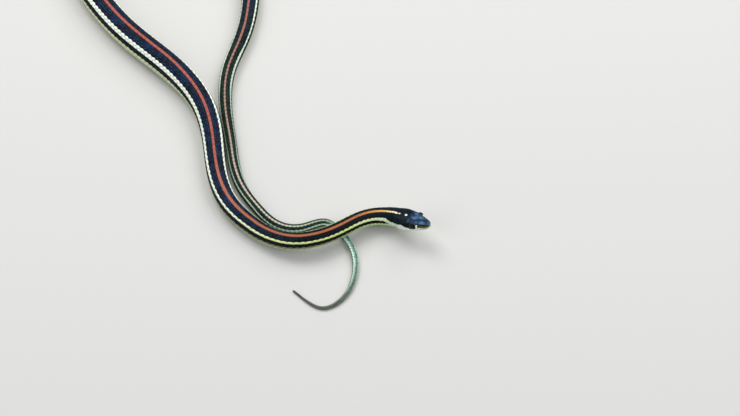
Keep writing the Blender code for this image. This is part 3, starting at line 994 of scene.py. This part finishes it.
hide = {
    "backStripe": [
        (16, (244, 240, 214)), (21, (240, 222, 168)), (26, (226, 180, 106)), (32, (204, 142, 76)),
        (40, (174, 108, 64)), (58, (170, 100, 64)), (95, (166, 98, 68)), (125, (174, 104, 82)),
        (150, (168, 90, 76)), (440, (168, 90, 74)), (490, (160, 104, 90)), (530, (158, 122, 108)),
        (560, (168, 142, 124)), (590, (186, 168, 152)), (622, (188, 182, 164)), (647, (160, 160, 142)),
        (660, (92, 132, 114)), (690, (90, 104, 92)), (722, (90, 86, 80)),
    ],
    "sideStripe": [
        (14, (226, 240, 220)), (24, (226, 246, 204)), (34, (236, 248, 190)), (48, (230, 240, 156)),
        (80, (236, 243, 168)), (100, (248, 251, 208)), (118, (253, 254, 236)), (150, (248, 251, 240)), (440, (246, 249, 238)),
        (480, (244, 250, 232)), (515, (232, 243, 226)), (530, (206, 220, 202)), (542, (200, 214, 198)), (554, (160, 174, 158)), (590, (178, 194, 178)),
        (620, (200, 222, 202)),
        (647, (206, 236, 216)), (660, (236, 255, 246)), (680, (206, 232, 214)), (698, (126, 142, 126)),
        (722, (102, 100, 92)),
    ],
    # from 660 mm on, the ground and low ground turn pale teal: partly the tail's own lighter colour and partly
    # painted sheen
    "ground": [
        (0, (6, 26, 34)), (24, (4, 20, 30)), (60, (4, 10, 14)), (110, (6, 15, 30)), (440, (6, 15, 28)),
        (500, (12, 25, 22)), (600, (12, 30, 22)), (647, (20, 46, 34)), (660, (154, 208, 188)),
        (674, (148, 190, 170)), (694, (110, 124, 110)), (722, (94, 90, 84)),
    ],
    "lowGround": [
        (14, (214, 232, 206)), (22.4, (214, 238, 196)), (24.0, (8, 16, 8)), (300, (8, 13, 10)),
        (500, (12, 22, 16)), (647, (20, 36, 28)), (660, (110, 154, 136)), (694, (92, 100, 90)),
        (722, (92, 88, 82)),
    ],
    # painted reflection: the bluish sheen of the sky on the dark scales
    "sheenBlue": (14, 46, 84),
    "fleck": (62, 108, 144),
    "tailFleck": (72, 146, 106),
    "beadEdge": (150, 176, 54),
    # painted shade: the belly edge is darker and olive from about 60 to 145 mm, and pale before and after
    "bellyEdge": [
        (16, (206, 230, 184)), (34, (210, 236, 176)), (44, (178, 200, 132)), (60, (136, 142, 106)),
        (110, (138, 144, 110)), (145, (186, 194, 144)), (190, (214, 220, 172)), (440, (214, 220, 172)),
        (520, (190, 214, 186)), (600, (120, 146, 122)), (722, (112, 116, 102)),
    ],
    "belly": (208, 216, 178),
}


def markings(finish, around, along):
    # the colours that skin and coat share, with a painted sheen over the dark ground
    wobble = (finish.noise(1.6) - 0.5) * 2.2
    angle = around + wobble
    back, sideLow, sideHigh, belly = marks["plain"]
    ground = finish.graded(along, hide["ground"])
    # painted sheen: bluish blotches mixed into the dark ground from 60 to 520 mm, a painted reflection of the
    # sky
    sheen = finish.noise(3.5, 3.0).ease(0.4, 0.72) * 0.55 * (1 - along.ease(450, 520)) * along.ease(60, 110)
    ground = finish.mix(ground, hide["sheenBlue"], sheen)
    low = finish.graded(along, hide["lowGround"])
    colour = finish.mix(ground, low, angle.ease(sideHigh - 4, sideHigh))
    isBelly = angle.ease(belly - 1.5, belly + 1.5)
    bellyColour = finish.mix(
        finish.graded(along, hide["bellyEdge"]), hide["belly"], angle.ease(belly + 4, belly + 30)
    )
    colour = finish.mix(colour, bellyColour, isBelly)
    isSide = angle.band(sideLow, sideHigh, 1.0)
    colour = finish.mix(colour, finish.graded(along, hide["sideStripe"]), isSide)
    isBack = (1 - angle.ease(back - 1.2, back + 1.2)) * along.ease(15.4, 16.2)
    colour = finish.mix(colour, finish.graded(along, hide["backStripe"]), isBack)
    dark = (1 - isBelly) * (1 - isSide) * (1 - isBack)
    return colour, dark, isSide


def scaleMaterial():
    finish = Finish("scales", specular=0.09)
    around, along, edge = finish.read("around"), finish.read("along"), finish.read("edge")
    luck, reach = finish.read("chance"), finish.read("reach")
    colour, dark, isSide = markings(finish, around, along)
    colour = finish.mix(colour, (4, 6, 10), (luck - 0.5) * 0.35 * (1 - reach))
    isFleck = edge.ease(0.32, 0.6) * luck.ease(0.34, 0.42) * reach.band(0.3, 0.7, 0.08)
    isFleck = isFleck * dark * (1 - along.ease(650, 660)) * along.ease(30, 110)
    fleck = finish.mix(hide["fleck"], hide["tailFleck"], along.ease(460, 540))
    colour = finish.mix(colour, fleck, isFleck * 0.75)
    isRim = edge.ease(0.3, 0.9) * isSide * along.ease(30, 50) * (1 - along.ease(440, 500))
    colour = finish.mix(colour, hide["beadEdge"], isRim * 0.6)
    isMottle = luck.ease(0.52, 0.6) * along.ease(656, 666) * (1 - isSide) * reach.ease(0.2, 0.9)
    colour = finish.mix(colour, (30, 46, 40), isMottle * 0.55)
    colour = finish.mix(colour, (6, 8, 9), (1 - reach.ease(0.1, 0.5)) * 0.5)
    roughness = 0.42 + 0.14 * finish.noise(0.9)
    return finish.finish(colour=colour, roughness=roughness)


def skinMaterial():
    finish = Finish("skin", specular=0.08)
    around, along, seam = finish.read("around"), finish.read("along"), finish.read("seam")
    lip, turn, lid, pit = (finish.read(name) for name in ("lip", "turn", "lid", "pit"))
    colour, _, _ = markings(finish, around, along)
    colour = finish.mix(colour, (5, 6, 7), 0.6 * along.ease(17.5, 19.5))
    # painted reflection: the top of the head is painted bluish, in blotches, for the sky's reflection on it; the
    # rear and sides keep the dark temple colour
    crown = finish.mix(head["crown"], head["crownSkyReflection"], finish.noise(2.4, 3.0).ease(0.36, 0.66))
    crown = finish.mix(crown, head["temple"], (along.ease(9.4, 11.2)).larger(turn.ease(38, 50)))
    isStreak = along.band(2.6, 6.2, 0.7) * (1 - turn.ease(3, 9)) * 0.7
    crown = finish.mix(crown, head["temple"], isStreak)
    isMuzzle = (1 - along.ease(4.2, 5.0)) * turn.ease(52, 62)
    crown = finish.mix(crown, head["muzzle"], isMuzzle)
    raised = lip - 1.2 * along.ease(11, 14)
    isLip = 1 - raised.ease(-0.12, 0.1)
    pale = finish.mix(head["lip"], head["chin"], turn.ease(104, 124))
    pale = finish.mix(pale, head["muzzleLip"], (1 - along.ease(2.0, 5.0)) * 0.75)
    topColour = finish.mix(crown, pale, isLip)
    isBar = along.band(4.95, 5.85, 0.1) * lip.band(0.05, 1.75, 0.1) * turn.ease(44, 50)
    topColour = finish.mix(topColour, head["bar"], isBar)
    nearMiddle = ((along - head["spot"][0]) / head["spot"][1]) ** 2 + (turn / head["spot"][2]) ** 2
    topColour = finish.mix(topColour, head["spotColour"], 1 - nearMiddle.ease(0.75, 1.1))
    topColour = finish.mix(topColour, (9, 12, 14), (1 - lid.ease(1.36, 1.5)) * 0.85)
    isRing = lid.band(1.42, 1.62, 0.06) * 0.16
    topColour = finish.mix(topColour, head["bar"], isRing)
    seamTone = finish.mix((8, 12, 15), head["lipSeam"], isLip)
    topColour = finish.mix(topColour, seamTone, (1 - seam.ease(0.03, 0.13)) * 0.75)
    # painted shade: the nostrils' pits are painted near-black for the shade in their hollows
    topColour = finish.mix(topColour, (5, 5, 5), pit.ease(0.3, 0.7))
    colour = finish.mix(topColour, colour, along.ease(15.6, 16.8))
    roughness = 0.3 + 0.14 * finish.noise(0.7)
    return finish.finish(colour=colour, roughness=roughness)


head = {
    # the crown's two colours are the dark head tinted bluish and lighter blotches, both painted reflection of
    # the sky on the top of the head; temple is the head's own dark colour
    "crown": (22, 44, 70),
    "crownSkyReflection": (74, 108, 144),
    "temple": (2, 19, 26),
    "muzzle": (70, 72, 20),
    "muzzleLip": (176, 172, 84),
    "lip": (240, 247, 238),
    "chin": (228, 238, 220),
    "lipSeam": (120, 136, 118),
    "bar": (240, 248, 232),
    "spot": (12.8, 0.72, 6.8),    # distance behind the snout, half length, half angle
    "spotColour": (238, 246, 242),
}


def eyeMaterial():
    finish = Finish("eye", coat=0.1, coatRoughness=0.03, specular=0.1)
    gaze, swing = finish.read("gaze"), finish.read("swing")
    rays = finish.add("ShaderNodeTexNoise", {"noise_dimensions": "1D"}, {"W": swing * 9.0, "Scale": 1.0})
    iris = finish.mix((6, 5, 4), (15, 11, 7), rays)
    isRing = gaze.band(eye["pupil"] + 0.02, eye["pupil"] + 0.13, 0.035)
    iris = finish.mix(iris, (110, 102, 64), isRing * 0.3)
    iris = finish.mix(iris, (6, 5, 4), gaze.ease(0.9, 1.2) * 0.85)
    colour = finish.mix(iris, (2, 2, 3), 1 - gaze.ease(eye["pupil"] - 0.02, eye["pupil"] + 0.03))
    return finish.finish(colour=colour, roughness=0.12)


studio = {
    "target": (0.0676, -0.0756, 0.0),
    "distance": 0.90,
    "elevation": 57.0,
    "lens": 87.57,
    "floor": (200, 198, 194),
    # place, size and watts of each soft light, all facing the animal
    "lights": [
        ((-0.35, 0.55, 0.95), 0.7, 9.0),
        ((0.6, 0.6, 0.9), 0.9, 9.0),
        ((0.75, -0.35, 0.8), 0.9, 4.0),
        ((-0.8, -0.5, 0.7), 0.9, 4.5),
    ],
    "sky": (196, 208, 224),
    "skyStrength": 0.36,
}


def buildStudio():
    finish = Finish("floor", specular=0.2)
    size = 3.0
    corners = np.array([(-size, -size, 0), (size, -size, 0), (size, size, 0), (-size, size, 0)]) / mm
    floor = makeMesh("floor", corners, [np.array([[0, 1, 2, 3]])], {})
    floor.data.materials.append(finish.finish(colour=linear(studio["floor"]), roughness=0.85))
    for number, (where, width, watts) in enumerate(studio["lights"]):
        lamp = bpy.data.lights.new(f"soft_light_{number + 1}", "AREA")
        lamp.size = width
        lamp.energy = watts
        made = bpy.data.objects.new(lamp.name, lamp)
        made.location = where
        aim = -np.array(where)
        made.rotation_euler = (math.atan2(math.hypot(aim[0], aim[1]), -aim[2]), 0, math.atan2(-aim[0], aim[1]))
        bpy.context.scene.collection.objects.link(made)
    world = bpy.data.worlds.new("studio")
    world.use_nodes = True
    background = world.node_tree.nodes["Background"]
    background.inputs["Color"].default_value = linear(studio["sky"])
    background.inputs["Strength"].default_value = studio["skyStrength"]
    bpy.context.scene.world = world
    camera = bpy.data.cameras.new("camera")
    camera.lens = studio["lens"]
    camera.clip_start, camera.clip_end = 0.05, 20
    made = bpy.data.objects.new("camera", camera)
    rise = math.radians(studio["elevation"])
    x, y, z = studio["target"]
    made.location = (x, y - studio["distance"] * math.cos(rise), z + studio["distance"] * math.sin(rise))
    made.rotation_euler = (math.pi / 2 - rise, 0, 0)
    bpy.context.scene.collection.objects.link(made)
    bpy.context.scene.camera = made


bpy.context.scene.view_settings.view_transform = "Standard"
buildStudio()
print("studio: floor, lights and camera")
skin = buildSkin()
skin.data.materials.append(skinMaterial())
print(f"skin: {len(skin.data.polygons)} faces over {bodyLength:.1f} mm")
scaleFinish = scaleMaterial()
buildScales(scaleFinish)
buildScutes(scaleFinish)
buildEyes(eyeMaterial())
print("eyes: two, under their lids")
